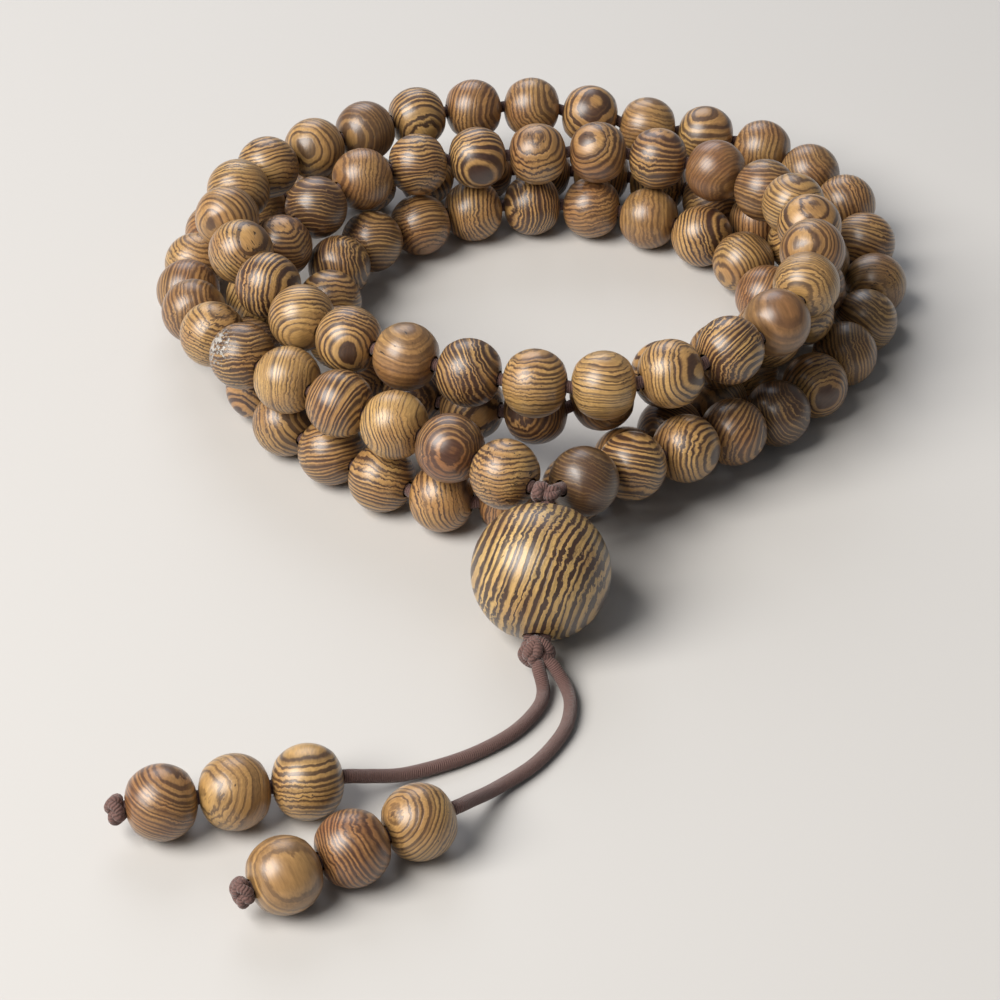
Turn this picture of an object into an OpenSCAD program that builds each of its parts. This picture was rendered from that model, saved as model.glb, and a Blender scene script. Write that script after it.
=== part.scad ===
/* [Strand] */
// Diameter of a strand or tail bead, mm
bead_diameter = 8; // [6:0.1:8]
// Length of a bead along its bore, mm
bead_length = 7.5; // [6:0.1:7.7]
// Radius of the turned end caps round the bore, mm
cap_radius = 5; // [4.5:0.5:8]
// Bore through a strand or tail bead, mm
bead_bore = 2; // [1.7:0.1:2.6]
// Spacing of the beads along the strand, mm
strand_pitch = 7.9; // [7.8:0.05:8.2]

/* [Guru bead] */
// Diameter of the guru bead, mm
guru_diameter = 15.5; // [12:0.5:15.5]
// Length of the guru bead along its bore, mm
guru_length = 15; // [11:0.1:15]
// Radius of the guru end caps, mm
guru_cap_radius = 10; // [8.5:0.5:14]
// Bore through the guru bead, mm
guru_bore = 3.3; // [3.2:0.1:4]

/* [Cord and knots] */
// Thickness of the cord, mm
cord_diameter = 1.5; // [1:0.1:1.6]
// Radius of the knot above the guru bead, mm
upper_knot_radius = 1.6; // [1:0.05:1.65]
// Radius of the knot below the guru bead, mm
lower_knot_radius = 2; // [1.8:0.05:2.1]
// Radius of the knot at the end of each tail, mm
end_knot_radius = 1.6; // [1.4:0.05:1.6]

/* [Tails] */
// Spacing of the beads on a tail, mm
tail_pitch = 7.55; // [7.5:0.05:8.5]

/* [Show] */
// Which sub-part to draw

/* [Hidden] */
$fn = 64;
BEADS = 108;
TAIL_BEADS = 3;
WOOD = [0.45, 0.29, 0.17];
GOLD_WOOD = [0.62, 0.44, 0.22];
CORD = [0.38, 0.26, 0.24];

// The strand is one route wound four times. Each row is one turn, seen from the guru bead
// round by the right: [distance from the middle, height of the bead's centre] every 20 degrees.
ROUTE = [
  // first turn: outside on the table, then up at the back and on top at the left
  [42, 11.5], [35, 8], [33, 6], [35, 4.5], [38, 4.5], [42.5, 4.5],
  [46.5, 6], [46, 7], [40, 9], [39, 11], [39, 11.5], [39, 12],
  [41, 13], [39.5, 15], [34.5, 15], [31.5, 15], [29, 16], [28, 16],
  // second turn: over the top at the front and right, then down at the left
  [29, 16], [31, 16.5], [32.5, 17.5], [33.5, 17.5], [33, 17], [33.5, 15],
  [34, 12], [31.5, 11.5], [28, 11.5], [26, 12], [26.5, 12], [29, 12],
  [31.5, 11.5], [34, 9], [36.5, 4], [37, 4], [36, 4], [36.5, 4],
  // third turn: inside on the table
  [34, 4], [30, 4], [27, 4], [27, 4], [28, 4], [29.5, 4],
  [29, 4], [27.5, 4], [26.5, 4], [26, 4], [26, 4], [26, 4.5],
  [27, 5.5], [26.5, 6], [25.5, 6], [24.5, 6.5], [24, 7], [24, 8],
  // fourth turn: under the top turn, outside on the table at the back, then up to the knot
  [25, 9.5], [25.5, 10.5], [26.5, 11], [29, 11], [32.5, 9.5], [36, 7.5],
  [37, 4.5], [36, 4], [35, 4], [34.5, 4], [36, 4], [40, 4],
  [46, 4], [45, 5], [42, 9], [38.5, 11], [36, 12], [37, 12.5],
  [43, 12.8]
];
ROUTE_START = 0.31;
ROUTE_END = 71.69;
ROUTE_SAMPLES = 720;
SETTLE_ROUNDS = 200;
TURN_CLEARANCE = 0.05;
NEAR = 14;

function clampi(k) = max(0, min(len(ROUTE) - 1, k));
function spline(a, b, c, d, t) =
  (2 * b + (c - a) * t + (2 * a - 5 * b + 4 * c - d) * t * t
  + (3 * b - a - 3 * c + d) * t * t * t) / 2;
function station(u) =
  let (i = max(0, min(len(ROUTE) - 2, floor(u))))
  spline(ROUTE[clampi(i - 1)], ROUTE[i], ROUTE[i + 1], ROUTE[clampi(i + 2)], u - i);
function point_at(u) =
  let (s = station(u), a = 20 * u)
  [s[0] * sin(a), -s[0] * cos(a), s[1]];
function unit(v) = v / norm(v);

// Bead centres: evenly spaced along the route, then settled against each other.
TRACK = [for (i = [0 : ROUTE_SAMPLES])
  point_at(ROUTE_START + (ROUTE_END - ROUTE_START) * i / ROUTE_SAMPLES)];
RUN = [for (i = 0, s = 0; i <= ROUTE_SAMPLES;
  i = i + 1, s = s + (i <= ROUTE_SAMPLES ? norm(TRACK[i] - TRACK[i - 1]) : 0)) [s, i]];
function along(s) =
  let (j = lookup(s, RUN), i = min(ROUTE_SAMPLES - 1, floor(j)), t = j - i)
  TRACK[i] * (1 - t) + TRACK[i + 1] * t;
LAID = [for (k = [0 : BEADS - 1]) along(RUN[ROUTE_SAMPLES][0] * k / (BEADS - 1))];
CLOSE = [for (i = [0 : BEADS - 1])
  [for (j = [0 : BEADS - 1]) if (abs(i - j) > 1 && norm(LAID[i] - LAID[j]) < NEAR) j]];
function total(v, i = 0, s = [0, 0, 0]) = i >= len(v) ? s : total(v, i + 1, s + v[i]);
function tie(p, q) = unit(q - p) * (norm(q - p) - strand_pitch) / 2;
function push(p, q) =
  let (gap = bead_diameter + TURN_CLEARANCE - norm(q - p))
  gap > 0 ? -unit(q - p) * gap / 2 : [0, 0, 0];
function settle_one(p, i) =
  let (m = p[i]
    + (i > 0 ? tie(p[i], p[i - 1]) : [0, 0, 0]) / 2
    + (i < BEADS - 1 ? tie(p[i], p[i + 1]) : [0, 0, 0]) / 2
    + total([for (j = CLOSE[i]) push(p[i], p[j])]) / 2)
  [m[0], m[1], max(m[2], bead_diameter / 2)];
function settle(p, n) = n == 0 ? p : settle([for (i = [0 : BEADS - 1]) settle_one(p, i)], n - 1);
BEAD_AT = settle(LAID, SETTLE_ROUNDS);
BORE_ALONG = [for (i = [0 : BEADS - 1])
  unit(BEAD_AT[min(i + 1, BEADS - 1)] - BEAD_AT[max(i - 1, 0)])];

// Guru bead and its knots.
GURU_AT = [-0.5, -52.2, 7.8];
GURU_LIFT = 33;
GURU_HEADING = 4;
GURU_ALONG = [cos(GURU_LIFT) * sin(GURU_HEADING), cos(GURU_LIFT) * cos(GURU_HEADING), sin(GURU_LIFT)];
UPPER_KNOT_AT = GURU_AT + 9.05 * GURU_ALONG;
LOWER_KNOT_AT = GURU_AT - 9 * GURU_ALONG;

// Tails: the first bead's centre, the heading of the beads, and the free cord before them.
LEFT_FIRST = [-24.8, -80.7, 4];
LEFT_ALONG = unit([-1, -0.2, 0]);
LEFT_ROUTE = [
  [-0.8, -61.9, 2.2], [-0.3, -64.2, 1], [-1.2, -67, 0.8], [-4, -70.6, 0.8],
  [-8.8, -74, 0.8], [-14.8, -76.8, 1.2], [-18.6, -78.7, 2.8]
];
RIGHT_FIRST = [-13.2, -86.4, 4];
RIGHT_ALONG = unit([-1, -0.55, 0]);
RIGHT_ROUTE = [
  [0.8, -61.3, 2.2], [2.1, -63.2, 1], [2.6, -66, 0.8], [1.8, -70, 0.8],
  [-1.2, -74.8, 0.8], [-5.4, -79, 1.3], [-8, -82.4, 3]
];
CORD_STEPS = 4;
CORD_SIDES = 8;
function curve(p, k) =
  let (i = min(len(p) - 2, floor(k / CORD_STEPS)), t = k / CORD_STEPS - i)
  spline(p[max(0, i - 1)], p[i], p[i + 1], p[min(len(p) - 1, i + 2)], t);
function tail_track(route, first, along) =
  let (p = concat(route, [first - 3.9 * along, first]))
  concat([for (k = [0 : CORD_STEPS * (len(p) - 1)]) curve(p, k)],
    [for (k = [1 : TAIL_BEADS - 1]) first + k * tail_pitch * along],
    [first + tail_end() * along]);
function tail_end() = (TAIL_BEADS - 1) * tail_pitch + bead_length / 2 + 0.8;

function group_name(k) = str("strand_beads_", GROUPS[k][0] + 1, "_", GROUPS[k][1] + 1);
function bead_name(i) = str("strand_bead_", i + 1);
GROUPS = [for (k = [0 : 13]) k < 4 ? [6 * k, 6 * k + 5] : [6 * k + 24, 6 * k + 29]];
TOP_TURN = [24 : 47];

module point_along(at, along) {
  translate(at)
    rotate([0, acos(along[2]), atan2(along[1], along[0])])
      children();
}

// A turned bead: a ball with flatter end caps and a bore, along z.
module turned_bead(diameter, length, cap, bore) {
  difference() {
    intersection() {
      sphere(d = diameter);
      translate([0, 0, length / 2 - cap])
        sphere(r = cap);
      translate([0, 0, cap - length / 2])
        sphere(r = cap);
    }
    cylinder(h = 2 * length, d = bore, center = true);
  }
}

module strand_bead(i) {
  color(i % 3 == 0 ? GOLD_WOOD : WOOD)
    point_along(BEAD_AT[i], BORE_ALONG[i])
      turned_bead(bead_diameter, bead_length, cap_radius, bead_bore);
}

module strand_group(k) {
  for (i = [GROUPS[k][0] : GROUPS[k][1]])
    strand_bead(i);
}

module tail_bead(first, along, k) {
  color(k == 2 ? WOOD : GOLD_WOOD)
    point_along(first + (k - 1) * tail_pitch * along, along)
      turned_bead(bead_diameter, bead_length, cap_radius, bead_bore);
}

// A round cord swept along a list of points.
module cord(track) {
  n = len(track);
  ring = [for (k = [0 : n - 1])
    let (t = unit(track[min(k + 1, n - 1)] - track[max(k - 1, 0)]),
      a = unit(cross([0, 0, 1], t)), b = cross(t, a))
    for (s = [0 : CORD_SIDES - 1])
      track[k] + cord_diameter / 2 * (cos(360 * s / CORD_SIDES) * a + sin(360 * s / CORD_SIDES) * b)];
  sides = [for (k = [0 : n - 2]) for (s = [0 : CORD_SIDES - 1])
    let (p = k * CORD_SIDES + s, q = k * CORD_SIDES + (s + 1) % CORD_SIDES)
    for (f = [[p, p + CORD_SIDES, q], [q, p + CORD_SIDES, q + CORD_SIDES]]) f];
  caps = [for (s = [1 : CORD_SIDES - 2])
    for (f = [[0, s, s + 1], [(n - 1) * CORD_SIDES, (n - 1) * CORD_SIDES + s + 1, (n - 1) * CORD_SIDES + s]]) f];
  color(CORD)
    polyhedron(points = ring, faces = concat(sides, caps), convexity = 10);
}

// The strand cord follows each bore almost to its mouths and bends between the beads.
IN_BORE = 3.6;
function to_knot(from) = UPPER_KNOT_AT + (upper_knot_radius + 0.2) * unit(from - UPPER_KNOT_AT);
module strand_cord() {
  threaded = [for (i = [0 : BEADS - 1]) for (side = [-1, 1]) BEAD_AT[i] + side * IN_BORE * BORE_ALONG[i]];
  first = BEAD_AT[0] - strand_pitch / 2 * BORE_ALONG[0];
  last = BEAD_AT[BEADS - 1] + strand_pitch / 2 * BORE_ALONG[BEADS - 1];
  cord(concat([to_knot(first), first], threaded, [last, to_knot(last)]));
}

module knot(at, along, radius, flatness = 1) {
  color(CORD)
    point_along(at, along)
      scale([1, 1, flatness])
        sphere(r = radius);
}

module upper_knot() {
  knot(UPPER_KNOT_AT, GURU_ALONG, upper_knot_radius);
}

module lower_knot() {
  knot(LOWER_KNOT_AT, GURU_ALONG, lower_knot_radius);
}

module guru_cord() {
  color(CORD)
    point_along(GURU_AT, GURU_ALONG)
      for (side = [-1, 1])
        translate([0, side * (cord_diameter / 2 + 0.025), -8.4])
          cylinder(h = 8.4 + 7.1, d = cord_diameter);
}

module guru_bead() {
  color(GOLD_WOOD)
    point_along(GURU_AT, GURU_ALONG)
      turned_bead(guru_diameter, guru_length, guru_cap_radius, guru_bore);
}

module left_tail_cord() {
  cord(tail_track(LEFT_ROUTE, LEFT_FIRST, LEFT_ALONG));
}

module right_tail_cord() {
  cord(tail_track(RIGHT_ROUTE, RIGHT_FIRST, RIGHT_ALONG));
}

module left_end_knot() {
  knot(LEFT_FIRST + (tail_end() + 0.1) * LEFT_ALONG, LEFT_ALONG, end_knot_radius, 0.7);
}

module right_end_knot() {
  knot(RIGHT_FIRST + (tail_end() + 0.1) * RIGHT_ALONG, RIGHT_ALONG, end_knot_radius, 0.7);
}

strand_cord();
for (k = [0 : len(GROUPS) - 1])
  strand_group(k);
for (i = TOP_TURN)
  strand_bead(i);
upper_knot();
guru_cord();
lower_knot();
guru_bead();
left_tail_cord();
left_end_knot();
right_tail_cord();
right_end_knot();
for (k = [1 : TAIL_BEADS])
  tail_bead(LEFT_FIRST, LEFT_ALONG, k);
for (k = [1 : TAIL_BEADS])
  tail_bead(RIGHT_FIRST, RIGHT_ALONG, k);
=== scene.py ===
"""Mala prayer beads: 108 wooden beads wound four times, a guru bead and two beaded tails."""

import math
import random

import bpy
import numpy as np
from mathutils import Matrix, Vector


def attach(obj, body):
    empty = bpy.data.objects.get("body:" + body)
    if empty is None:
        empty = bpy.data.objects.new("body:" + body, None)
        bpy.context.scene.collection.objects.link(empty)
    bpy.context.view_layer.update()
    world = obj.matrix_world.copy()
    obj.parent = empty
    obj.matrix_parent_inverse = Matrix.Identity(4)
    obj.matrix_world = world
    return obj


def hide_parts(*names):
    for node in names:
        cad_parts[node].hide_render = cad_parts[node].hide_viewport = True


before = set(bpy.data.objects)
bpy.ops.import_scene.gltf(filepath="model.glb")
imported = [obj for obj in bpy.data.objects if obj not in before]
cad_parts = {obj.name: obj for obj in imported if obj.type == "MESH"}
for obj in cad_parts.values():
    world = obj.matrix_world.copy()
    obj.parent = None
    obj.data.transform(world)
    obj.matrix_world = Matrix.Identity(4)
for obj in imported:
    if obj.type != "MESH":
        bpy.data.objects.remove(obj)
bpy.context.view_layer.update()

MM = 0.001

# ---------------------------------------------------------------- camera

camera_data = bpy.data.cameras.new("camera")
camera_data.lens = 100.2
camera_data.sensor_width = 36
camera_data.clip_start = 0.01
camera_data.clip_end = 10
camera = bpy.data.objects.new("camera", camera_data)
camera.location = (-0.005, -0.283, 0.209)
camera.rotation_euler = (math.radians(50.4), 0, 0)
bpy.context.scene.collection.objects.link(camera)
bpy.context.scene.camera = camera

# ---------------------------------------------------------------- the wound strand, as in part.scad

BEADS = 108
BEAD_DIAMETER = 8
BEAD_LENGTH = 7.5
CAP_RADIUS = 5
BEAD_BORE = 2
STRAND_PITCH = 7.9
GURU_DIAMETER = 15.5
GURU_LENGTH = 15
GURU_CAP_RADIUS = 10
GURU_BORE = 3.3
CORD_DIAMETER = 1.5
TAIL_PITCH = 7.55
TAIL_BEADS = 3
TURN_CLEARANCE = 0.05
RIB_PITCH = 0.23  # from one rib of the braid to the next
ROUTE_START = 0.31
ROUTE_END = 71.69
ROUTE_SAMPLES = 720
SETTLE_ROUNDS = 200
NEAR = 14  # beads of two turns that start nearer than this are kept from touching
IN_BORE = 3.6  # half the straight stretch of thread in each bead
STEPS_PER_TURN = 18

# [distance from the middle, height of the bead's centre] every 20 degrees, one row of 18 per turn
ROUTE = [
    # first turn
    [42, 11.5], [35, 8], [33, 6], [35, 4.5], [38, 4.5], [42.5, 4.5],
    [46.5, 6], [46, 7], [40, 9], [39, 11], [39, 11.5], [39, 12],
    [41, 13], [39.5, 15], [34.5, 15], [31.5, 15], [29, 16], [28, 16],
    # second turn
    [29, 16], [31, 16.5], [32.5, 17.5], [33.5, 17.5], [33, 17], [33.5, 15],
    [34, 12], [31.5, 11.5], [28, 11.5], [26, 12], [26.5, 12], [29, 12],
    [31.5, 11.5], [34, 9], [36.5, 4], [37, 4], [36, 4], [36.5, 4],
    # third turn
    [34, 4], [30, 4], [27, 4], [27, 4], [28, 4], [29.5, 4],
    [29, 4], [27.5, 4], [26.5, 4], [26, 4], [26, 4], [26, 4.5],
    [27, 5.5], [26.5, 6], [25.5, 6], [24.5, 6.5], [24, 7], [24, 8],
    # fourth turn
    [25, 9.5], [25.5, 10.5], [26.5, 11], [29, 11], [32.5, 9.5], [36, 7.5],
    [37, 4.5], [36, 4], [35, 4], [34.5, 4], [36, 4], [40, 4],
    [46, 4], [45, 5], [42, 9], [38.5, 11], [36, 12], [37, 12.5],
    [43, 12.8],
]
ROUTE = [np.array(station, float) for station in ROUTE]


def unit(v):
    return v / np.linalg.norm(v)


def spline(a, b, c, d, t):
    """A smooth curve from b to c, led by a and d."""
    slope = (c - a) * t
    bend = (2 * a - 5 * b + 4 * c - d) * t**2
    ease = (3 * b - a - 3 * c + d) * t**3
    return (2 * b + slope + bend + ease) / 2


def spline_through(points, u):
    """The point u steps along the smooth curve through points."""
    i = max(0, min(len(points) - 2, math.floor(u)))
    last = len(points) - 1
    before, after = points[max(0, i - 1)], points[min(last, i + 2)]
    return spline(before, points[i], points[i + 1], after, u - i)


def point_at(u):
    """Where the middle of the thread runs u steps along the wound route."""
    reach, height = spline_through(ROUTE, u)
    turn = 2 * math.pi * u / STEPS_PER_TURN
    return np.array([reach * math.sin(turn), -reach * math.cos(turn), height])


def running_length(track):
    """How far along the track each of its points lies."""
    return np.concatenate([[0], np.cumsum(np.linalg.norm(np.diff(track, axis=0), axis=1))])


def settled_beads():
    """Bead centres in mm: evenly spaced along the route, then settled against each other."""
    span = ROUTE_END - ROUTE_START
    samples = [ROUTE_START + span * i / ROUTE_SAMPLES for i in range(ROUTE_SAMPLES + 1)]
    track = np.array([point_at(u) for u in samples])
    run = running_length(track)
    places = run[-1] * np.arange(BEADS) / (BEADS - 1)
    beads = np.stack([np.interp(places, run, track[:, k]) for k in range(3)], axis=1)
    order = np.arange(BEADS)
    steps = np.abs(order[:, None] - order[None, :])
    close = (steps > 1) & (np.linalg.norm(beads[:, None] - beads[None], axis=2) < NEAR)
    tied = steps == 1
    for _ in range(SETTLE_ROUNDS):
        apart = beads[None] - beads[:, None]
        gap = np.linalg.norm(apart, axis=2)
        np.fill_diagonal(gap, 1)
        pull = np.where(tied, gap - STRAND_PITCH, 0)
        pull += np.where(close, np.minimum(0, gap - BEAD_DIAMETER - TURN_CLEARANCE), 0)
        beads = beads + (apart / gap[..., None] * (pull / 4)[..., None]).sum(axis=1)
        beads[:, 2] = np.maximum(beads[:, 2], BEAD_DIAMETER / 2)
    return beads


BEAD_AT = settled_beads()
BORE_ALONG = [
    unit(BEAD_AT[min(i + 1, BEADS - 1)] - BEAD_AT[max(i - 1, 0)]) for i in range(BEADS)
]

GURU_AT = np.array([-0.5, -52.2, 7.8])
GURU_LIFT = math.radians(33)
GURU_HEADING = math.radians(4)
GURU_ALONG = np.array([
    math.cos(GURU_LIFT) * math.sin(GURU_HEADING),
    math.cos(GURU_LIFT) * math.cos(GURU_HEADING),
    math.sin(GURU_LIFT),
])
UPPER_KNOT_AT = GURU_AT + 9.05 * GURU_ALONG
LOWER_KNOT_AT = GURU_AT - 9 * GURU_ALONG
UPPER_KNOT_RADIUS = 1.6

# from the middle of a tail's first bead: back to its bore's mouth, on to the cord's end and knot
TAIL_ENTRY = 3.9
TAIL_END = (TAIL_BEADS - 1) * TAIL_PITCH + BEAD_LENGTH / 2 + 0.8
END_KNOT_AT = TAIL_END + 0.1
TAIL_START = 1.2  # the tails part this far from the middle of the lower knot
TAILS = {
    "left": {
        "first": np.array([-24.8, -80.7, 4]),
        "along": unit(np.array([-1, -0.2, 0])),
        "route": [
            [-0.8, -61.9, 2.2], [-0.3, -64.2, 1], [-1.2, -67, 0.8], [-4, -70.6, 0.8],
            [-8.8, -74, 0.8], [-14.8, -76.8, 1.2], [-18.6, -78.7, 2.8],
        ],
    },
    "right": {
        "first": np.array([-13.2, -86.4, 4]),
        "along": unit(np.array([-1, -0.55, 0])),
        "route": [
            [0.8, -61.3, 2.2], [2.1, -63.2, 1], [2.6, -66, 0.8], [1.8, -70, 0.8],
            [-1.2, -74.8, 0.8], [-5.4, -79, 1.3], [-8, -82.4, 3],
        ],
    },
}

# ---------------------------------------------------------------- cords and knots


def cord_tube(name, track, diameter, sides=16):
    """A closed round tube along a track in mm. Its weave holds mm along and turns around."""
    track = [np.array(p, float) for p in track]
    last = len(track) - 1
    rings, weave, run = [], [], 0.0
    across = None
    for k, point in enumerate(track):
        heading = unit(track[min(k + 1, last)] - track[max(k - 1, 0)])
        if across is None:
            start = np.array([0, 0, 1.0]) if abs(heading[2]) < 0.9 else np.array([1.0, 0, 0])
            across = unit(np.cross(start, heading))
        across = unit(across - heading * across.dot(heading))
        up = np.cross(heading, across)
        if k:
            run += np.linalg.norm(point - track[k - 1])
        for s in range(sides):
            turn = 2 * math.pi * s / sides
            outwards = math.cos(turn) * across + math.sin(turn) * up
            rings.append((point + diameter / 2 * outwards) * MM)
            weave.append((run, s / sides, 0))
    faces = []
    for k in range(last):
        for s in range(sides):
            p, q = k * sides + s, k * sides + (s + 1) % sides
            faces.append((p, q, q + sides, p + sides))
    faces.append(tuple(reversed(range(sides))))
    faces.append(tuple(range(last * sides, (last + 1) * sides)))
    mesh = bpy.data.meshes.new(name)
    mesh.from_pydata([tuple(v) for v in rings], [], faces)
    kept = mesh.attributes.new("weave", "FLOAT_VECTOR", "POINT")
    kept.data.foreach_set("vector", np.array(weave, np.float32).ravel())
    for face in mesh.polygons:
        face.use_smooth = True
    tube = bpy.data.objects.new(name, mesh)
    bpy.context.scene.collection.objects.link(tube)
    return tube


def resampled(track, step):
    """The same track with a point about every step mm."""
    track = np.array(track, float)
    run = running_length(track)
    count = max(2, round(run[-1] / step) + 1)
    places = np.linspace(0, run[-1], count)
    return np.stack([np.interp(places, run, track[:, k]) for k in range(3)], axis=1)


def tail_track(tail):
    """From inside the lower knot, along the floor and straight on through the beads."""
    points = [np.array(p, float) for p in tail["route"]]
    points += [tail["first"] - TAIL_ENTRY * tail["along"], tail["first"]]
    steps = 8 * (len(points) - 1)
    curve = [spline_through(points, k / 8) for k in range(steps + 1)]
    start = LOWER_KNOT_AT + TAIL_START * unit(curve[0] - LOWER_KNOT_AT)
    return [start, *curve, tail["first"] + TAIL_END * tail["along"]]


def facing(along, roll=0.0):
    """The turn that takes +Z to along, after a roll about it."""
    turn = Vector(tuple(along)).to_track_quat("Z", "Y").to_matrix().to_4x4()
    return turn @ Matrix.Rotation(math.radians(roll), 4, "Z")


def join_all(pieces, name):
    bpy.ops.object.select_all(action="DESELECT")
    for piece in pieces:
        piece.select_set(True)
    bpy.context.view_layer.objects.active = pieces[0]
    if len(pieces) > 1:
        bpy.ops.object.join()
    pieces[0].name = name
    return pieces[0]


def stands_for(piece, node, body):
    """The piece moves with the body and takes the node's place."""
    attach(piece, body)
    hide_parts(node)
    return piece


KNOT_STEPS = 96


def tied_knot(name, at, along, radius, thickness, roll, squash, loops):
    """A tight overhand knot: each loop is a closed trefoil of cord, over the ones before it."""
    parts = []
    place = Matrix.Translation(tuple(at)) @ facing(along, roll)
    scale = (radius - thickness / 2) / 3
    flat = Matrix.Diagonal((1, 1, squash, 1))
    for number, (tip, turn) in enumerate(loops):
        lean = Matrix.Rotation(math.radians(turn), 4, "Z")
        lean = lean @ Matrix.Rotation(math.radians(tip), 4, "X")
        path = []
        for k in range(KNOT_STEPS + 1):
            t = 2 * math.pi * k / KNOT_STEPS
            p = Vector((
                (math.sin(t) + 2 * math.sin(2 * t)) * scale,
                (math.cos(t) - 2 * math.cos(2 * t)) * scale,
                -1.55 * math.sin(3 * t) * scale,
            ))
            path.append(np.array(place @ flat @ lean @ p))
        parts.append(cord_tube(f"{name}_{number}", path, thickness, 12))
    return join_all(parts, name)


cord_pieces = []
for side, tail in TAILS.items():
    knot_at = tail["first"] + END_KNOT_AT * tail["along"]
    knot = tied_knot(
        f"{side}_tail_tied_end", knot_at, tail["along"], 1.75, 1.05,
        roll=25, squash=0.62, loops=((0, 0), (50, 40)),
    )
    cord_pieces.append(stands_for(knot, f"{side}_end_knot", f"{side}_tail"))
    fine = resampled(tail_track(tail), 0.5)
    route = resampled(tail_track(tail), 1.6)
    tube = cord_tube(f"{side}_tail_thread", fine, CORD_DIAMETER)
    cord_pieces.append(stands_for(tube, f"{side}_tail_cord", f"{side}_tail"))


def to_knot(start):
    """Where a thread from start meets the upper knot."""
    return UPPER_KNOT_AT + (UPPER_KNOT_RADIUS + 0.2) * unit(start - UPPER_KNOT_AT)


thread = []
for at, along in zip(BEAD_AT, BORE_ALONG):
    thread += [at - IN_BORE * along, at + IN_BORE * along]
start = BEAD_AT[0] - STRAND_PITCH / 2 * BORE_ALONG[0]
stop = BEAD_AT[-1] + STRAND_PITCH / 2 * BORE_ALONG[-1]
thread = [to_knot(start), start, *thread, stop, to_knot(stop)]
strand_thread = cord_tube("strand_thread", thread, CORD_DIAMETER, 12)
cord_pieces.append(stands_for(strand_thread, "strand_cord", "strand"))

upper_knot = tied_knot(
    "upper_knot_tied", UPPER_KNOT_AT, GURU_ALONG, 1.8, 1.1,
    roll=10, squash=0.8, loops=((0, 0), (58, 15)),
)
cord_pieces.append(stands_for(upper_knot, "upper_knot", "upper_knot"))
lower_knot = tied_knot(
    "lower_knot_tied", LOWER_KNOT_AT, GURU_ALONG, 2.15, 1.25,
    roll=40, squash=0.85, loops=((0, 0), (48, 30), (90, 80)),
)
cord_pieces.append(stands_for(lower_knot, "lower_knot", "guru_drop"))

# two threads side by side through the guru bead, hidden in the knots at both ends
bore_side = unit(np.cross(np.array([0, 0, 1.0]), GURU_ALONG))
guru_strands = []
for number, side in enumerate((-1, 1)):
    middle = GURU_AT + side * (CORD_DIAMETER / 2 + 0.025) * bore_side
    ends = [middle - 7.8 * GURU_ALONG, middle + 7.1 * GURU_ALONG]
    guru_strands.append(cord_tube(f"guru_thread_{number}", resampled(ends, 0.5), CORD_DIAMETER))
guru_thread = join_all(guru_strands, "guru_thread")
cord_pieces.append(stands_for(guru_thread, "guru_cord", "guru_drop"))

# ---------------------------------------------------------------- turned beads


def turned_bead(name, diameter, length, cap, bore, segments, rings, softened):
    """A ball with flatter end caps and a bore along Z, in mm. It is the pattern for its copies."""
    bpy.ops.object.select_all(action="DESELECT")
    bpy.ops.mesh.primitive_uv_sphere_add(segments=segments, ring_count=rings, radius=diameter / 2)
    bead = bpy.context.object
    bead.name = name
    cutters = []
    for side in (-1, 1):
        middle = (0, 0, side * (cap - length / 2))
        bpy.ops.mesh.primitive_uv_sphere_add(
            segments=segments, ring_count=rings * 2, radius=cap, location=middle
        )
        cutters.append(("INTERSECT", bpy.context.object))
    bpy.ops.mesh.primitive_cylinder_add(vertices=segments, radius=bore / 2, depth=2 * length)
    cutters.append(("DIFFERENCE", bpy.context.object))
    bpy.ops.object.select_all(action="DESELECT")
    bead.select_set(True)
    bpy.context.view_layer.objects.active = bead
    for operation, cutter in cutters:
        cut = bead.modifiers.new("cut", "BOOLEAN")
        cut.operation = operation
        cut.solver = "EXACT"
        cut.object = cutter
        bpy.ops.object.modifier_apply(modifier=cut.name)
    soften = bead.modifiers.new("soften", "BEVEL")
    soften.width = softened
    soften.segments = 2
    soften.limit_method = "ANGLE"
    soften.angle_limit = math.radians(35)
    bpy.ops.object.modifier_apply(modifier=soften.name)
    bpy.ops.object.mode_set(mode="EDIT")
    bpy.ops.mesh.select_all(action="SELECT")
    bpy.ops.mesh.remove_doubles(threshold=0.002)
    bpy.ops.mesh.normals_make_consistent(inside=False)
    bpy.ops.object.mode_set(mode="OBJECT")
    bpy.ops.object.shade_smooth_by_angle(angle=math.radians(32))
    for operation, cutter in cutters:
        bpy.data.objects.remove(cutter)
    return bead


bead_pattern = turned_bead(
    "bead_pattern", BEAD_DIAMETER, BEAD_LENGTH, CAP_RADIUS, BEAD_BORE,
    segments=48, rings=28, softened=0.14,
)
guru_pattern = turned_bead(
    "guru_pattern", GURU_DIAMETER, GURU_LENGTH, GURU_CAP_RADIUS, GURU_BORE,
    segments=96, rings=56, softened=0.25,
)

# The growth rings of each bead face a way of their own, given as right, up and towards the viewer.
TILT = math.radians(39.6)
RIGHT = Vector((1, 0, 0))
UP = Vector((0, math.sin(TILT), math.cos(TILT)))
TOWARDS = Vector((0, -math.cos(TILT), math.sin(TILT)))

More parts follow.
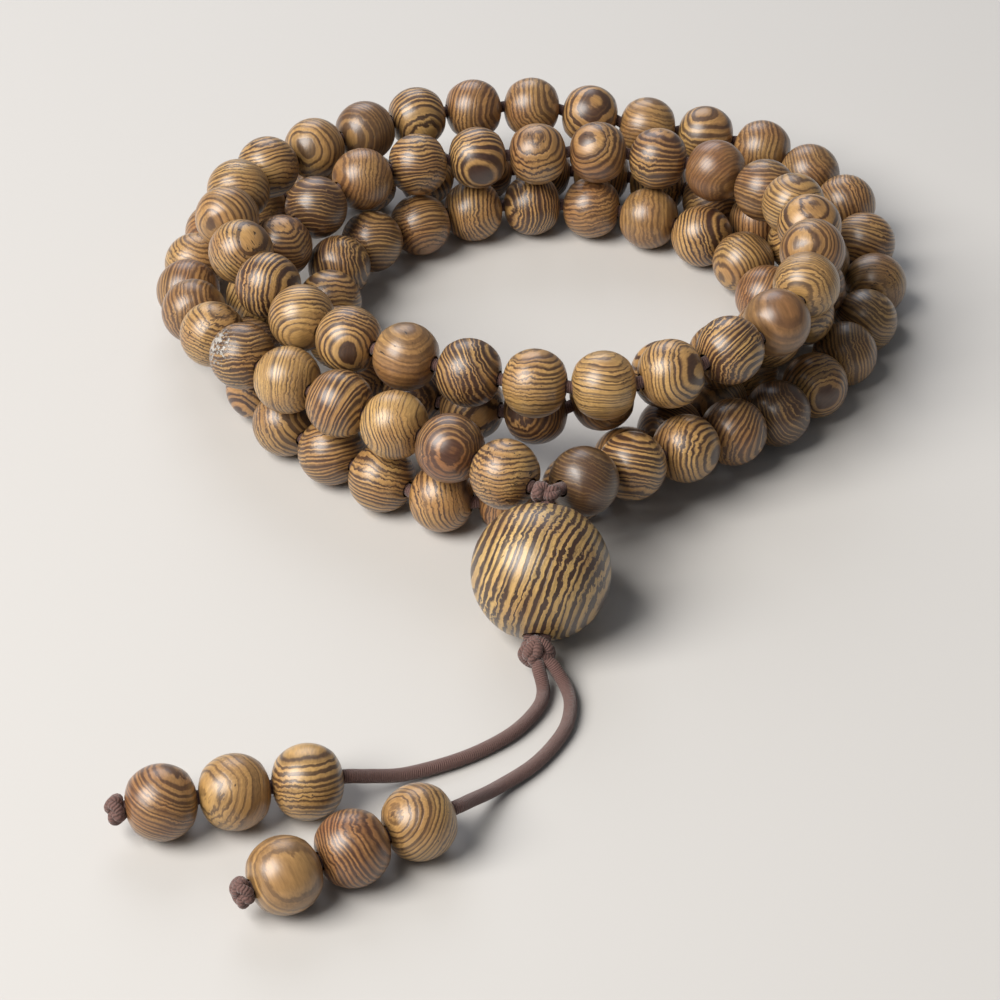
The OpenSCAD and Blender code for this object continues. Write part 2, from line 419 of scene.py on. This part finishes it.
# (right, up, towards), (golden, red, contrast, pores, stripe width) of the beads that show.
# A number is a strand bead's place from the guru, counted from 0.
GRAIN = {
    0: ((0.3, 0.95, 0.1), (0.1, 0.2, 0.3, 0.0, 0.75)),
    1: ((0.1, 1, 0.15), (0.5, 0.3, 0.95, 0.1, 1.1)),
    2: ((0.85, -0.15, 0.5), (0.5, 0.3, 0.95, 0.1, 1.1)),
    3: ((0.9, -0.3, 0.3), (0.4, 0.5, 0.8, 0.1, 1.0)),
    4: ((0.8, 0.5, 0.3), (0.08, 0.2, 0.6, 0.2, 1.0)),
    5: ((0.35, -0.45, 0.8), (0.55, 0.35, 0.95, 0.3, 1.3)),
    6: ((0.95, 0.2, 0.1), (0.45, 0.3, 0.7, 0.3, 1.0)),
    7: ((0.5, 0.8, 0.2), (0.35, 0.2, 0.6, 0.1, 0.9)),
    8: ((0.3, 0.5, -0.6), (0.5, 0.35, 0.4, 0.9, 1.0)),
    9: ((0.25, 0.95, 0), (0.45, 0.4, 0.8, 0.1, 1.1)),
    10: ((0.95, 0.25, 0), (0.5, 0.35, 0.8, 0.1, 1.0)),
    11: ((0.8, 0.5, 0.2), (0.45, 0.5, 0.5, 0.1, 1.0)),
    12: ((1, 0.05, 0.1), (0.5, 0.5, 0.6, 0.1, 1.2)),
    13: ((0.15, 0.7, 0.65), (0.5, 0.35, 0.8, 0.1, 1.5)),
    14: ((0.2, 0.8, 0.3), (0.55, 0.35, 0.5, 0.1, 1.2)),
    15: ((0.1, 0.15, 0.95), (0.5, 0.4, 0.9, 0.1, 1.7)),
    16: ((0.9, 0.3, 0.2), (0.5, 0.5, 0.6, 0.1, 1.2)),
    17: ((0.9, -0.1, 0.3), (0.5, 0.6, 0.7, 0.1, 1.1)),
    18: ((0.3, -0.6, 0.6), (0.4, 0.35, 0.9, 0.1, 1.3)),
    19: ((-0.5, -0.3, 0.75), (0.25, 0.5, 0.4, 0.1, 1.2)),
    20: ((-0.25, -0.2, 0.9), (0.6, 0.35, 0.8, 0.1, 1.3)),
    21: ((-0.2, 0.9, 0.2), (0.5, 0.3, 0.9, 0.1, 1.0)),
    22: ((0.1, -0.85, 0.5), (0.65, 0.2, 0.8, 0.2, 0.95)),
    23: ((-0.35, -0.35, 0.85), (0.6, 0.4, 0.8, 0.2, 1.2)),
    24: ((0.6, 0.45, 0.65), (0.65, 0.3, 0.8, 0.9, 1.1)),
    25: ((0.85, -0.15, 0.45), (0.4, 0.3, 1.0, 0.4, 1.15)),
    26: ((0.1, -0.75, 0.65), (0.68, 0.2, 0.95, 0.2, 1.05)),
    27: ((-0.05, -0.45, 0.88), (0.58, 0.25, 0.95, 0.2, 1.1)),
    28: ((0, 0.85, 0.5), (0.6, 0.5, 0.4, 0.4, 1.5)),
    29: ((0.85, 0.4, 0.2), (0.28, 0.3, 0.95, 0.3, 1.1)),
    30: ((0, 0.95, 0.3), (0.6, 0.25, 0.85, 0.3, 1.1)),
    31: ((0, 0.9, 0.45), (0.72, 0.15, 0.9, 0.1, 0.85)),
    32: ((0.8, 0.1, 0.55), (0.6, 0.25, 0.95, 0.2, 1.2)),
    33: ((0.75, -0.6, 0.2), (0.28, 0.25, 1.0, 0.2, 1.0)),
    34: ((0.2, 0.3, 0.9), (0.42, 0.6, 0.2, 0.0, 2.0)),
    35: ((-0.3, -0.6, 0.7), (0.62, 0.15, 0.75, 0.1, 1.0)),
    36: ((-0.5, 0.1, 0.85), (0.5, 0.5, 0.7, 0.1, 1.3)),
    37: ((0, 0.5, 0.8), (0.5, 0.35, 0.9, 0.1, 1.5)),
    38: ((0.2, 0.85, 0.4), (0.62, 0.25, 0.75, 0.1, 1.0)),
    39: ((0.1, 0.9, 0.2), (0.35, 0.4, 0.6, 0.1, 1.0)),
    40: ((0.6, -0.6, 0.5), (0.45, 0.75, 0.35, 0.0, 0.9)),
    41: ((0.05, 0.85, 0.5), (0.35, 0.35, 0.85, 0.1, 1.2)),
    42: ((-0.35, 0.35, 0.85), (0.45, 0.5, 0.8, 0.1, 1.4)),
    43: ((0, 0.4, 0.9), (0.5, 0.35, 0.9, 0.2, 1.6)),
    44: ((0.2, -0.6, 0.75), (0.38, 0.35, 1.0, 0.1, 1.4)),
    45: ((0.05, 0.95, 0.1), (0.38, 0.3, 0.9, 0.1, 1.0)),
    46: ((-0.9, 0.1, 0.3), (0.52, 0.65, 0.55, 0.1, 1.1)),
    47: ((0.05, 0.97, 0.1), (0.15, 0.4, 0.75, 0.0, 1.0)),
    53: ((-0.2, 0.9, 0.2), (0.4, 0.35, 0.8, 0.3, 1.0)),
    54: ((0.3, 0.9, 0.2), (0.5, 0.35, 0.9, 0.2, 1.0)),
    63: ((0.8, -0.3, 0.4), (0.5, 0.7, 0.7, 0.1, 1.0)),
    64: ((-0.7, -0.5, 0.4), (0.5, 0.35, 0.7, 0.1, 1.0)),
    65: ((0.85, 0.2, 0.4), (0.5, 0.3, 1.0, 0.1, 1.2)),
    66: ((0.9, 0, 0.3), (0.55, 0.4, 0.4, 0.1, 1.2)),
    71: ((0.1, 0.95, 0.1), (0.35, 0.35, 0.7, 0.1, 1.0)),
    72: ((0.97, 0.1, 0.2), (0.4, 0.3, 0.9, 0.1, 1.0)),
    73: ((0, 0.9, 0.3), (0.45, 0.3, 0.85, 0.1, 1.0)),
    98: ((0.3, 0.8, 0.4), (0.65, 0.25, 0.7, 0.1, 1.0)),
    99: ((0.9, 0.1, 0.2), (0.4, 0.6, 0.6, 0.1, 1.1)),
    100: ((0.8, 0.3, 0.3), (0.38, 0.6, 0.6, 0.1, 1.1)),
    101: ((0.25, 0.75, 0.55), (0.62, 0.25, 0.8, 1.0, 1.0)),
    102: ((0, 0.95, 0.2), (0.25, 0.3, 0.8, 0.7, 1.0)),
    103: ((0.97, -0.1, 0.15), (0.62, 0.12, 0.85, 0.2, 0.9)),
    104: ((0.85, -0.45, 0.25), (0.4, 0.35, 0.95, 0.2, 1.0)),
    105: ((0.97, 0.05, 0.2), (0.74, 0.1, 1.0, 0.1, 0.95)),
    106: ((0, -0.05, 1), (0.28, 0.75, 0.75, 0.1, 0.95)),
    107: ((0.05, 0.97, 0.15), (0.62, 0.3, 0.9, 0.9, 1.0)),
    "left_1": ((0, 0.95, 0.3), (0.55, 0.15, 0.8, 0.3, 1.3)),
    "left_2": ((-0.7, 0.1, 0.6), (0.68, 0.2, 0.7, 0.4, 1.3)),
    "left_3": ((0.4, 0.85, 0.25), (0.42, 0.55, 0.65, 0.1, 1.0)),
    "right_1": ((-0.75, 0.35, 0.55), (0.65, 0.2, 0.75, 0.2, 1.1)),
    "right_2": ((0.85, 0.4, 0.2), (0.42, 0.7, 0.8, 0.1, 1.0)),
    "right_3": ((0.3, 0.2, 0.9), (0.62, 0.25, 0.45, 0.1, 2.0)),
    "guru": ((0.92, -0.38, 0.1), (0.39, 0.05, 1.0, 0.4, 1.0)),
}
# The other beads draw theirs by chance, each tone between these two values.
TONE_RANGES = ((0.3, 0.65), (0.2, 0.6), (0.6, 1), (0, 0.5), (0.9, 1.3))
CRUSTED = 102  # this bead has a patch of pale mineral crust, on its left
CRUST_SIDE = -0.8 * RIGHT + 0.35 * UP + 0.5 * TOWARDS
chance = random.Random(108)


def grain_of(key):
    """The way the growth rings face, the way the fibres run, and the wood's tones, for one bead."""
    pole = Vector([chance.gauss(0, 1) for _ in range(3)]).normalized()
    tones = tuple(chance.uniform(low, high) for low, high in TONE_RANGES)
    fibre = Vector([chance.gauss(0, 1) for _ in range(3)])
    shift = Vector([chance.uniform(-40, 40) for _ in range(3)])
    if key in GRAIN:
        (right, up, towards), tones = GRAIN[key]
        pole = (right * RIGHT + up * UP + towards * TOWARDS).normalized()
    fibre = (fibre - fibre.dot(pole) * pole).normalized()
    return pole, fibre, shift, tones


def place_bead(pattern, name, at, along, key):
    """A copy of the pattern at its place, with its own grain and tones kept on its points."""
    pole, fibre, shift, (golden, red, contrast, pores, width) = grain_of(key)
    turn = facing(along, chance.uniform(0, 360))
    mesh = pattern.data.copy()
    mesh.name = name
    mesh.transform(turn)
    count = len(mesh.vertices)
    points = np.empty(count * 3, np.float32)
    mesh.vertices.foreach_get("co", points)
    points = points.reshape(-1, 3)
    axes = np.array([pole, fibre.cross(pole), fibre], np.float32)
    grain = points @ axes.T / width + np.array(shift, np.float32)
    kept = mesh.attributes.new("grain", "FLOAT_VECTOR", "POINT")
    kept.data.foreach_set("vector", grain.astype(np.float32).ravel())
    tone = np.tile(np.array([golden, red, contrast, pores], np.float32), (count, 1))
    kept = mesh.attributes.new("tone", "FLOAT_COLOR", "POINT")
    kept.data.foreach_set("color", tone.ravel())
    if key == CRUSTED:
        reach = points @ np.array(CRUST_SIDE, np.float32) / (BEAD_DIAMETER / 2)
        kept = mesh.attributes.new("crust", "FLOAT", "POINT")
        kept.data.foreach_set("value", np.clip(reach - 0.42, 0, 1))
    mesh.transform(Matrix.Translation(Vector(tuple(at)) * MM) @ Matrix.Scale(MM, 4))
    bead = bpy.data.objects.new(name, mesh)
    bpy.context.scene.collection.objects.link(bead)
    return bead


def strand_bead(i):
    return place_bead(bead_pattern, f"turned_bead_{i + 1}", BEAD_AT[i], BORE_ALONG[i], i)


# The last full turn's beads are pieces of their own, and the others are in sixes.
SINGLE_BEADS = range(24, 48)
SIXES = [range(k, k + 6) for k in range(0, BEADS, 6) if k not in SINGLE_BEADS]
wood_pieces = []
for six in SIXES:
    numbers = six[0] + 1, six[-1] + 1
    beads = join_all([strand_bead(i) for i in six], "turned_beads_{}_to_{}".format(*numbers))
    wood_pieces.append(
        stands_for(beads, "strand_beads_{}_{}".format(*numbers), "strand")
    )
for i in SINGLE_BEADS:
    name = f"strand_bead_{i + 1}"
    wood_pieces.append(stands_for(strand_bead(i), name, name))
for side, tail in TAILS.items():
    for k in range(TAIL_BEADS):
        at = tail["first"] + k * TAIL_PITCH * tail["along"]
        name = f"{side}_tail_bead_{k + 1}"
        bead = place_bead(bead_pattern, f"turned_{name}", at, tail["along"], f"{side}_{k + 1}")
        wood_pieces.append(stands_for(bead, name, name))
guru = place_bead(guru_pattern, "turned_guru_bead", GURU_AT, GURU_ALONG, "guru")
stands_for(guru, "guru_bead", "guru_bead")
for pattern in (bead_pattern, guru_pattern):
    bpy.data.objects.remove(pattern)

# ---------------------------------------------------------------- materials


def colour(value):
    """An sRGB hex value as a linear colour."""
    parts = [int(value[k : k + 2], 16) / 255 for k in (1, 3, 5)]
    return tuple(c / 12.92 if c <= 0.04045 else ((c + 0.055) / 1.055) ** 2.4 for c in parts) + (1,)


def add_node(tree, kind, inputs=None, **settings):
    """Adds a node. Each input is a value, a socket, or a node whose first output feeds it."""
    made = tree.nodes.new(kind)
    for key, value in settings.items():
        setattr(made, key, value)
    for key, value in (inputs or {}).items():
        if isinstance(value, bpy.types.Node):
            value = value.outputs[0]
        if isinstance(value, bpy.types.NodeSocket):
            tree.links.new(value, made.inputs[key])
        else:
            made.inputs[key].default_value = value
    return made


def new_material(name):
    material = bpy.data.materials.new(name)
    material.use_nodes = True
    tree = material.node_tree
    shader = tree.nodes["Principled BSDF"]
    return material, tree, shader


MATH, MIX, RANGE = "ShaderNodeMath", "ShaderNodeMix", "ShaderNodeMapRange"
NOISE, ATTRIBUTE, BUMP = "ShaderNodeTexNoise", "ShaderNodeAttribute", "ShaderNodeBump"

# (changes in a mm across, across and along the fibre), detail, roughness of each noise in the wood
WOOD_NOISE = {
    "bend": ((0.16, 0.2, 0.09), 1.0, 0.5),
    "curl": ((0.3, 0.3, 0.2), 1.0, 0.5),
    "wobble": ((1.3, 1.5, 0.6), 4.0, 0.62),
    "patch": ((0.3, 0.3, 0.12), 2.0, 0.5),
    "blush": ((0.22, 0.22, 0.15), 1.0, 0.5),
    "fibres": ((5.5, 5.5, 0.5), 3.0, 0.6),
    "speck": ((3.4, 3.4, 1.1), 1.0, 0.5),
    "flakes": ((2.2, 2.2, 2.2), 4.0, 0.7),
}
# changes in one stripe and detail of each noise that changes only across the stripes
STRIPE_NOISE = {"drift": (0.45, 1.0), "uneven": (3.4, 2.0), "dull": (0.9, 1.0)}


def striped_wood(name, light, red_light, dark, red_dark, period, swirl, ripple, sharp, relief):
    """Wenge, turned and waxed: dark and pale growth bands, short black pores, a satin gloss.
    The bands are planes through the ball, so they close to rings where the planes face out.
    period is the real width of a dark and a pale band in mm, swirl and ripple how many mm they
    wander, sharp how soft their edges are, and relief how deep in mm the soft bands wear."""
    material, tree, shader = new_material(name)
    grain = add_node(tree, ATTRIBUTE, attribute_name="grain").outputs["Vector"]
    tone = add_node(tree, ATTRIBUTE, attribute_name="tone")
    parts = add_node(tree, "ShaderNodeSeparateColor", {0: tone.outputs["Color"]}).outputs
    golden, red, contrast, pores = parts[0], parts[1], parts[2], tone.outputs["Alpha"]
    noise = {}
    for key, (scale, detail, roughness) in WOOD_NOISE.items():
        spread = add_node(tree, "ShaderNodeVectorMath", {0: grain, 1: scale}, operation="MULTIPLY")
        inputs = {"Vector": spread, "Scale": 1.0, "Detail": detail, "Roughness": roughness}
        noise[key] = add_node(tree, NOISE, inputs)

    # where a point lies across the stripes, in mm
    across = add_node(tree, "ShaderNodeSeparateXYZ", {0: grain})
    inputs = {0: noise["bend"], 1: swirl, 2: -swirl / 2}
    bend = add_node(tree, MATH, inputs, operation="MULTIPLY_ADD")
    inputs = {0: noise["wobble"], 1: ripple, 2: -ripple / 2}
    wobble = add_node(tree, MATH, inputs, operation="MULTIPLY_ADD")
    inputs = {"Value": noise["curl"], "From Min": 0.42, "From Max": 0.68}
    inputs |= {"To Min": 0.5, "To Max": 2.4}
    curl = add_node(tree, RANGE, inputs, interpolation_type="SMOOTHSTEP")
    place = add_node(tree, MATH, {0: across, 1: bend}, operation="ADD")
    place = add_node(tree, MATH, {0: wobble, 1: curl, 2: place}, operation="MULTIPLY_ADD")
    for key, (scale, detail) in STRIPE_NOISE.items():
        inputs = {"W": place, "Scale": scale / period, "Detail": detail}
        noise[key] = add_node(tree, NOISE, inputs, noise_dimensions="1D")

    # pale and dark bands
    drift = add_node(tree, MATH, {0: noise["drift"], 1: 7.0, 2: -3.5}, operation="MULTIPLY_ADD")
    inputs = {0: place, 1: 2 * math.pi / period, 2: drift}
    phase = add_node(tree, MATH, inputs, operation="MULTIPLY_ADD")
    wave = add_node(tree, MATH, {0: phase}, operation="SINE")
    level = add_node(tree, MATH, {0: wave, 1: 0.5, 2: noise["patch"]}, operation="MULTIPLY_ADD")
    level = add_node(tree, MATH, {0: noise["uneven"], 1: 1.2, 2: level}, operation="MULTIPLY_ADD")
    level = add_node(tree, MATH, {0: golden, 1: 1.1, 2: level}, operation="MULTIPLY_ADD")
    inputs = {"Value": level, "From Min": 1.57 - sharp, "From Max": 1.57 + sharp}
    pale = add_node(tree, RANGE, inputs, interpolation_type="SMOOTHSTEP")
    pale = add_node(tree, MIX, {0: contrast, 2: golden, 3: pale}, data_type="FLOAT")

    # the two woods, each from brown to red
    blush = add_node(tree, MATH, {0: noise["blush"], 1: 1.3, 2: red}, operation="MULTIPLY_ADD")
    blush = add_node(tree, MATH, {0: blush, 1: 0.65}, operation="SUBTRACT", use_clamp=True)
    inputs = {0: blush, 6: colour(light), 7: colour(red_light)}
    light_wood = add_node(tree, MIX, inputs, data_type="RGBA").outputs[2]
    inputs = {0: blush, 6: colour(dark), 7: colour(red_dark)}
    dark_wood = add_node(tree, MIX, inputs, data_type="RGBA").outputs[2]
    inputs = {"Value": noise["dull"], "From Min": 0.4, "From Max": 0.7, "To Max": 0.33}
    dull = add_node(tree, RANGE, inputs, interpolation_type="SMOOTHSTEP")
    inputs = {0: dull, 6: light_wood, 7: dark_wood}
    light_wood = add_node(tree, MIX, inputs, data_type="RGBA").outputs[2]
    wood = add_node(tree, MIX, {0: pale, 6: dark_wood, 7: light_wood}, data_type="RGBA").outputs[2]

    # fine fibres, and short black pores
    shade = add_node(tree, MATH, {0: noise["fibres"], 1: 1.1, 2: 0.45}, operation="MULTIPLY_ADD")
    inputs = {0: 1.0, 6: wood, 7: shade}
    wood = add_node(tree, MIX, inputs, data_type="RGBA", blend_type="MULTIPLY").outputs[2]
    speck = add_node(tree, MATH, {0: pores, 1: 0.14, 2: noise["speck"]}, operation="MULTIPLY_ADD")
    inputs = {"Value": speck, "From Min": 0.79, "From Max": 0.82, "To Max": 0.85}
    hole = add_node(tree, RANGE, inputs)
    inputs = {0: hole, 6: wood, 7: colour("#1B120C")}
    wood = add_node(tree, MIX, inputs, data_type="RGBA").outputs[2]

    # a pale crust of mineral, where a bead has one
    crust = add_node(tree, ATTRIBUTE, attribute_name="crust").outputs["Fac"]
    crust = add_node(tree, MATH, {0: noise["flakes"], 1: 1.6, 2: crust}, operation="MULTIPLY_ADD")
    inputs = {"Value": crust, "From Min": 1.25, "From Max": 1.4, "To Max": 0.9}
    crust = add_node(tree, RANGE, inputs, interpolation_type="SMOOTHSTEP")
    inputs = {0: noise["flakes"], 6: colour("#3E3A37"), 7: colour("#DDD8D0")}
    mineral = add_node(tree, MIX, inputs, data_type="RGBA").outputs[2]
    wood = add_node(tree, MIX, {0: crust, 6: wood, 7: mineral}, data_type="RGBA").outputs[2]

    # the pale bands stand up a little, pores are pits, and the crust stands proud
    height = add_node(tree, MATH, {0: noise["fibres"], 1: 0.5}, operation="MULTIPLY")
    height = add_node(tree, MATH, {0: pale, 1: 0.6, 2: height}, operation="MULTIPLY_ADD")
    height = add_node(tree, MATH, {0: hole, 1: -1.76, 2: height}, operation="MULTIPLY_ADD")
    height = add_node(tree, MATH, {0: crust, 1: 2.0, 2: height}, operation="MULTIPLY_ADD")
    bump = add_node(tree, BUMP, {"Height": height, "Strength": 1.0, "Distance": relief * MM})
    gloss = add_node(tree, MATH, {0: noise["fibres"], 1: 0.24, 2: 0.26}, operation="MULTIPLY_ADD")
    tree.links.new(wood, shader.inputs["Base Color"])
    tree.links.new(gloss.outputs[0], shader.inputs["Roughness"])
    tree.links.new(bump.outputs[0], shader.inputs["Normal"])
    shader.inputs["IOR"].default_value = 1.5
    shader.inputs["Coat Weight"].default_value = 0.65
    shader.inputs["Coat Roughness"].default_value = 0.36
    return material


bead_wenge = striped_wood(
    "waxed_wenge", light="#BC965C", red_light="#99683F", dark="#3E2B20", red_dark="#45281C",
    period=0.5, swirl=2.4, ripple=0.44, sharp=0.36, relief=0.035,
)
guru_wenge = striped_wood(
    "waxed_wenge_guru", light="#BE9C60", red_light="#9A6640", dark="#3C2A1F", red_dark="#46281C",
    period=0.8, swirl=1.2, ripple=0.66, sharp=0.26, relief=0.06,
)


def braided_cord():
    """Braided elastic cord in brown polyester: fine ribs across it, a soft matt pile with sheen."""
    material, tree, shader = new_material("braided_brown_cord")
    weave = add_node(tree, ATTRIBUTE, attribute_name="weave").outputs["Vector"]
    run, around = add_node(tree, "ShaderNodeSeparateXYZ", {0: weave}).outputs[:2]
    at = add_node(tree, "ShaderNodeTexCoord").outputs["Object"]
    wear = add_node(tree, NOISE, {"Vector": at, "Scale": 900.0, "Detail": 3.0})
    pile = add_node(tree, NOISE, {"Vector": at, "Scale": 5200.0, "Detail": 2.0})
    lean = add_node(tree, MATH, {0: around, 1: 6.0}, operation="MULTIPLY")
    lean = add_node(tree, MATH, {0: lean, 1: 1.0}, operation="PINGPONG")
    rib = add_node(tree, MATH, {0: lean, 1: 0.09, 2: run}, operation="MULTIPLY_ADD")
    rib = add_node(tree, MATH, {0: wear, 1: 0.12, 2: rib}, operation="MULTIPLY_ADD")
    rib = add_node(tree, MATH, {0: rib, 1: math.pi / RIB_PITCH}, operation="MULTIPLY")
    rib = add_node(tree, MATH, {0: rib}, operation="SINE")
    rib = add_node(tree, MATH, {0: rib}, operation="ABSOLUTE")
    height = add_node(tree, MATH, {0: pile, 1: 0.7}, operation="MULTIPLY")
    height = add_node(tree, MATH, {0: rib, 1: 0.8, 2: height}, operation="MULTIPLY_ADD")
    # painted shade: the thread is painted darker down in the grooves between the ribs and lighter
    # on their tops; the pile noise varies the thread's own brown at random
    level = add_node(tree, MATH, {0: pile, 1: 0.75}, operation="MULTIPLY")
    level = add_node(tree, MATH, {0: rib, 1: 0.45, 2: level}, operation="MULTIPLY_ADD")
    inputs = {0: level, 6: colour("#2E1E1C"), 7: colour("#765750")}
    thread = add_node(tree, MIX, inputs, data_type="RGBA").outputs[2]
    bump = add_node(tree, BUMP, {"Height": height, "Strength": 1.0, "Distance": 0.09 * MM})
    tree.links.new(thread, shader.inputs["Base Color"])
    tree.links.new(bump.outputs[0], shader.inputs["Normal"])
    shader.inputs["Roughness"].default_value = 0.82
    shader.inputs["IOR"].default_value = 1.5
    shader.inputs["Sheen Weight"].default_value = 0.25
    shader.inputs["Sheen Roughness"].default_value = 0.4
    return material


cord_braid = braided_cord()


def dress(piece, material):
    """The piece wears this material only."""
    piece.data.materials.clear()
    piece.data.materials.append(material)


for piece in wood_pieces:
    dress(piece, bead_wenge)
dress(guru, guru_wenge)
for piece in cord_pieces:
    dress(piece, cord_braid)

# ---------------------------------------------------------------- floor and light

bpy.ops.object.select_all(action="DESELECT")
bpy.ops.mesh.primitive_plane_add(size=6, location=(0, 0, 0))
floor = bpy.context.object
floor.name = "floor"
# Painted board: matt, with no shine of its own
material, tree, shader = new_material("pale_floor")
shader.inputs["Base Color"].default_value = colour("#C2C0BD")
shader.inputs["Roughness"].default_value = 0.7
dress(floor, material)


def soft_light(name, direction, distance, size, power, tint="#FFFFFF"):
    """A square soft box that looks at the middle of the ring."""
    data = bpy.data.lights.new(name, "AREA")
    data.shape = "SQUARE"
    data.size = size
    data.energy = power
    data.color = colour(tint)[:3]
    light = bpy.data.objects.new(name, data)
    way = Vector(direction).normalized()
    light.location = way * distance + Vector((0, -0.02, 0.01))
    light.rotation_euler = way.to_track_quat("Z", "Y").to_euler()
    bpy.context.scene.collection.objects.link(light)


soft_light("key", (-0.6, -0.33, 0.73), 0.85, 0.58, 12.5, "#FFFBF6")
soft_light("back", (-0.15, 0.8, 0.6), 0.8, 0.5, 2.2, "#F4F7FF")
world = bpy.data.worlds.new("studio")
world.use_nodes = True
world.node_tree.nodes["Background"].inputs["Color"].default_value = colour("#E8ECF2")
world.node_tree.nodes["Background"].inputs["Strength"].default_value = 0.17
bpy.context.scene.world = world
bpy.context.scene.view_settings.view_transform = "Standard"
